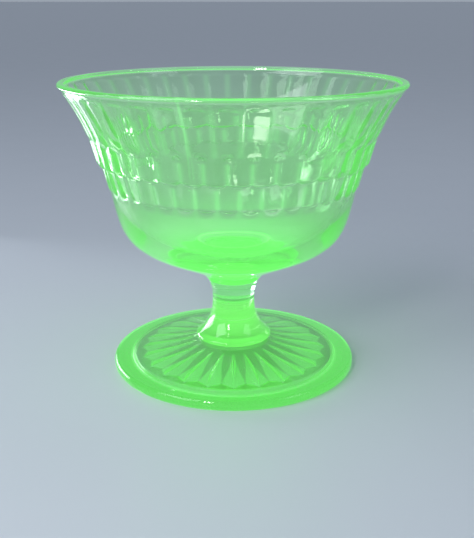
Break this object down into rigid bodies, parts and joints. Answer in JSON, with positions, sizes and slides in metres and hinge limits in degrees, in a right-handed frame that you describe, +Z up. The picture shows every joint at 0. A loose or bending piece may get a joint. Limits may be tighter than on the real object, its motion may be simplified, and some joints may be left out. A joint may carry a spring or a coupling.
{
  "type": "footed glass dish",
  "caption": "Footed dessert dish in green pressed glass: flared bowl with three rows of flutes, short waisted stem and a wide rayed foot.",
  "frame": {"origin": "centre of the ring that the foot stands on, at table height", "axes": "+Z up along the dish's axis; -Y is the side seen in the view the part was made from"},
  "size_m": [0.095, 0.095, 0.0825],
  "materials": {
    "bowl_glass": "uranium glass, pressed and fire polished, lit by ultraviolet",
    "collar_glass": "uranium glass, pressed and fire polished, lit by ultraviolet",
    "stem_glass": "uranium glass, pressed and fire polished, lit by ultraviolet",
    "foot_glass": "uranium glass, pressed and fire polished, lit by ultraviolet"
  },
  "bodies": {
    "root": {"bowl": "bowl_glass", "collar": "collar_glass", "stem": "stem_glass", "foot": "foot_glass"}
  },
  "joints": []
}
